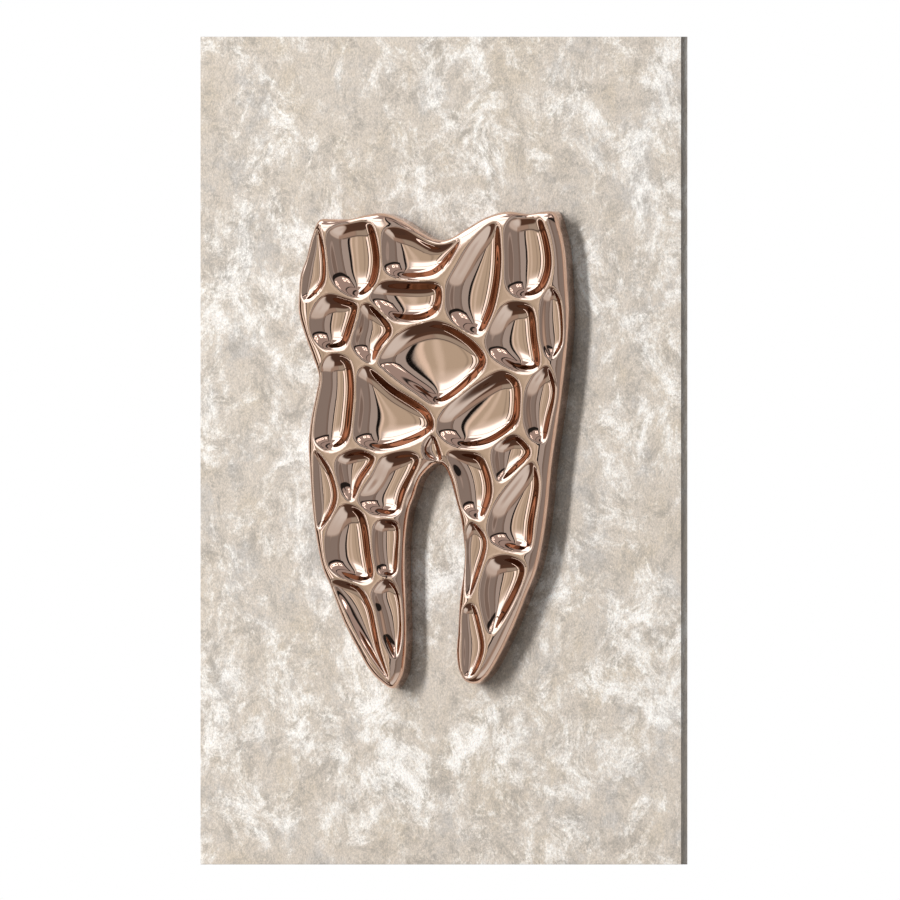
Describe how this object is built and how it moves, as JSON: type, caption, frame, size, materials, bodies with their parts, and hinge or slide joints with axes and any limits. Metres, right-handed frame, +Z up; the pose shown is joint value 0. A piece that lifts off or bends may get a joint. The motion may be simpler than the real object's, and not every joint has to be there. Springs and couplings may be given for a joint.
{
  "type": "tooth wall sculpture",
  "caption": "Plated molar in dented relief bolted to a cradled plaster panel that hangs on the wall by two swinging D-rings.",
  "frame": {"origin": "centre of the panel's back, on the middle brace's back face", "axes": "+Z up, +Y towards the wall, +X to the right seen from the front; the tooth faces -Y"},
  "size_m": [0.6, 0.0798, 1],
  "materials": {
    "rose_gold_plating": "polished",
    "stone_plaster": "matte",
    "birch_plywood": "matte",
    "pine": "matte",
    "zinc_plated_steel": "satin",
    "brass_insert": "satin",
    "black_rubber": "matte"
  },
  "bodies": {
    "panel": {"plaster_skin": "stone_plaster", "face_board": "birch_plywood", "rail_left": "pine", "rail_right": "pine", "rail_top": "pine", "rail_bottom": "pine", "brace_upper": "pine", "brace_middle": "pine", "brace_lower": "pine", "corner_block_top_left": "birch_plywood", "corner_block_top_right": "birch_plywood", "corner_block_bottom_left": "birch_plywood", "corner_block_bottom_right": "birch_plywood", "frame_screw_top_left": "zinc_plated_steel", "frame_screw_top_right": "zinc_plated_steel", "frame_screw_upper_left": "zinc_plated_steel", "frame_screw_upper_right": "zinc_plated_steel", "frame_screw_middle_left": "zinc_plated_steel", "frame_screw_middle_right": "zinc_plated_steel", "frame_screw_lower_left": "zinc_plated_steel", "frame_screw_lower_right": "zinc_plated_steel", "frame_screw_bottom_left": "zinc_plated_steel", "frame_screw_bottom_right": "zinc_plated_steel", "tooth_shell": "rose_gold_plating", "tooth_backing_board": "birch_plywood", "threaded_insert_crown_left": "brass_insert", "threaded_insert_crown_right": "brass_insert", "threaded_insert_root_left": "brass_insert", "threaded_insert_root_right": "brass_insert", "bolt_washer_crown_left": "zinc_plated_steel", "bolt_washer_crown_right": "zinc_plated_steel", "bolt_washer_root_left": "zinc_plated_steel", "bolt_washer_root_right": "zinc_plated_steel", "mounting_bolt_crown_left": "zinc_plated_steel", "mounting_bolt_crown_right": "zinc_plated_steel", "mounting_bolt_root_left": "zinc_plated_steel", "mounting_bolt_root_right": "zinc_plated_steel", "hanger_plate_left": "zinc_plated_steel", "hanger_plate_right": "zinc_plated_steel", "hanger_screw_left_upper": "zinc_plated_steel", "hanger_screw_left_lower": "zinc_plated_steel", "hanger_screw_right_upper": "zinc_plated_steel", "hanger_screw_right_lower": "zinc_plated_steel", "wall_bumper_top_left": "black_rubber", "wall_bumper_top_right": "black_rubber", "wall_bumper_bottom_left": "black_rubber", "wall_bumper_bottom_right": "black_rubber", "bumper_screw_top_left": "zinc_plated_steel", "bumper_screw_top_right": "zinc_plated_steel", "bumper_screw_bottom_left": "zinc_plated_steel", "bumper_screw_bottom_right": "zinc_plated_steel"},
    "ring_left": {"d_ring_left": "zinc_plated_steel"},
    "ring_right": {"d_ring_right": "zinc_plated_steel"}
  },
  "joints": [
    {"name": "ring_left_swing", "type": "hinge", "parent": "panel", "child": "ring_left", "pos_m": [-0.2827, 0.0034, 0.33], "axis": [1, 0, 0], "range_deg": [0, 180]},
    {"name": "ring_right_swing", "type": "hinge", "parent": "panel", "child": "ring_right", "pos_m": [0.2827, 0.0034, 0.33], "axis": [1, 0, 0], "range_deg": [0, 180]}
  ]
}
